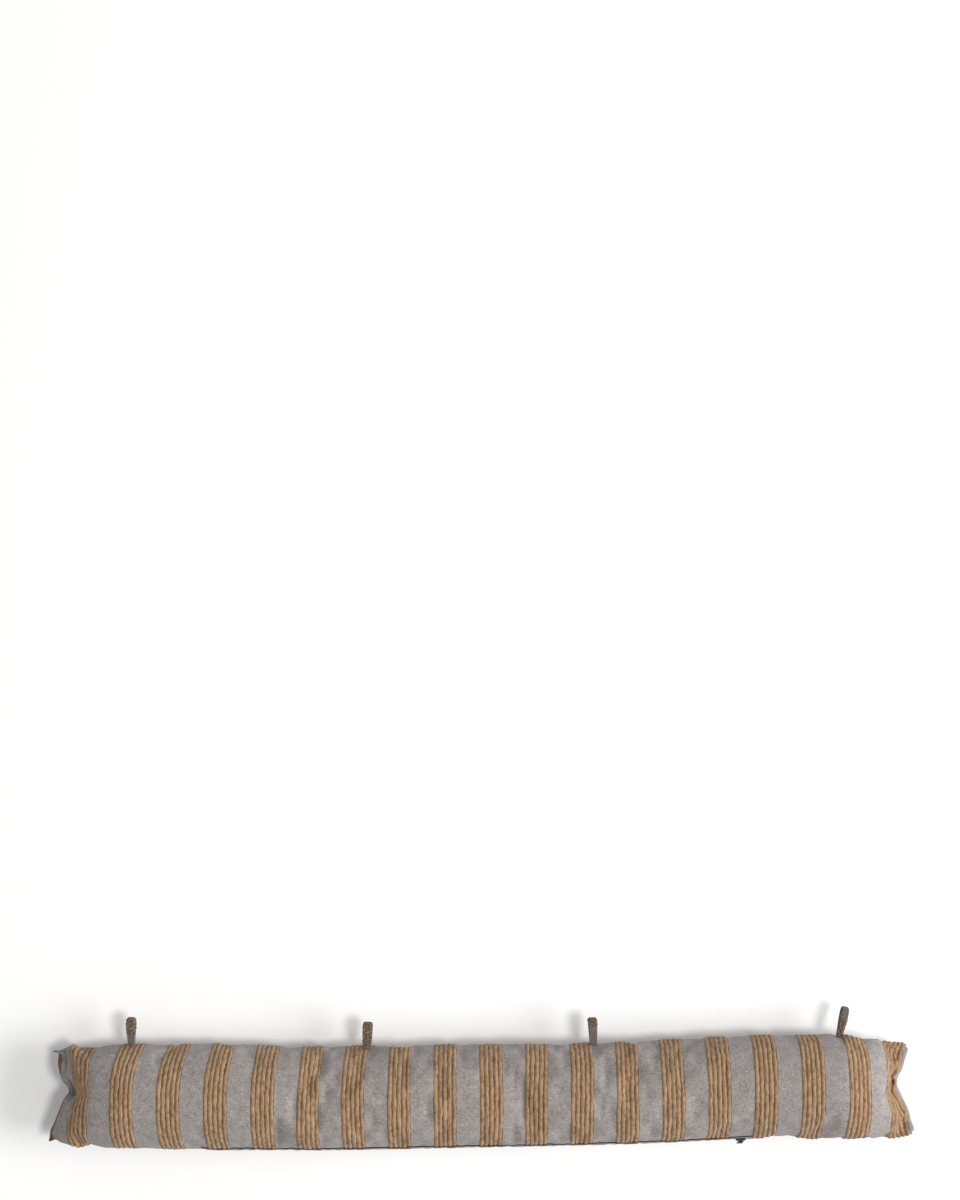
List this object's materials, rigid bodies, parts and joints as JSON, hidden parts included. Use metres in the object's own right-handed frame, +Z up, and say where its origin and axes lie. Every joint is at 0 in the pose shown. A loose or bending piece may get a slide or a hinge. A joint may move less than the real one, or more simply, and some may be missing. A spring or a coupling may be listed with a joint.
{
  "type": "draught excluder",
  "caption": "Long filled fabric tube in jute and grey wool stripes, with hanging loops along one seam and a zip in the other.",
  "frame": {"origin": "middle of the flat strip that the excluder rests on", "axes": "+X along the tube, +Y towards the seam with the hanging loops, +Z up, out of the upper face"},
  "size_m": [0.9, 0.1518, 0.0954],
  "materials": {
    "cover_cloth": "matt grey wool weave",
    "jute_stripe": "matt rough jute cords",
    "loop_cloth": "matt mottled weave",
    "zip_teeth": "black nylon coil on woven tape",
    "zip_metal": "black lacquer, half gloss"
  },
  "bodies": {
    "root": {"cover": "cover_cloth", "loop_1": "loop_cloth", "loop_2": "loop_cloth", "loop_3": "loop_cloth", "loop_4": "loop_cloth", "zip_chain": "zip_teeth", "zip_slider": "zip_metal", "zip_pull": "zip_metal"}
  },
  "joints": []
}
